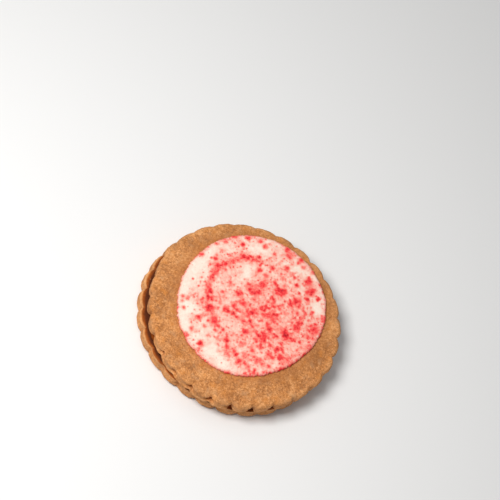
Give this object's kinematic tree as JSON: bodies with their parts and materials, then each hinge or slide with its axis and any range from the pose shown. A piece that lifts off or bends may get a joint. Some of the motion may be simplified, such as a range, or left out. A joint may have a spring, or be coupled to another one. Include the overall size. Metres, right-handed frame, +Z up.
{
  "type": "belgian biscuit",
  "caption": "Round sandwich biscuit: two fluted spiced biscuits held base to base by a thin layer of jam, topped by an off-centre disc of pink icing with red sugar crystals.",
  "frame": {"origin": "middle of the flat face of the lower biscuit, on the surface that the part rests on", "axes": "+Z up through the iced face; +Y towards the side of the rim that the icing comes nearest to"},
  "size_m": [0.0755, 0.0761, 0.0142],
  "materials": {
    "biscuit": "dry, matte, fine-grained baked crumb",
    "jam": "dark glossy jam",
    "icing": "set sugar icing, white with pink and red stains",
    "red_crystals": "small shiny red sugar crystals",
    "clear_crystals": "small clear sugar crystals"
  },
  "bodies": {
    "root": {"lower_biscuit": "biscuit", "jam_filling": "jam", "upper_biscuit": "biscuit", "icing": "icing"}
  },
  "joints": []
}
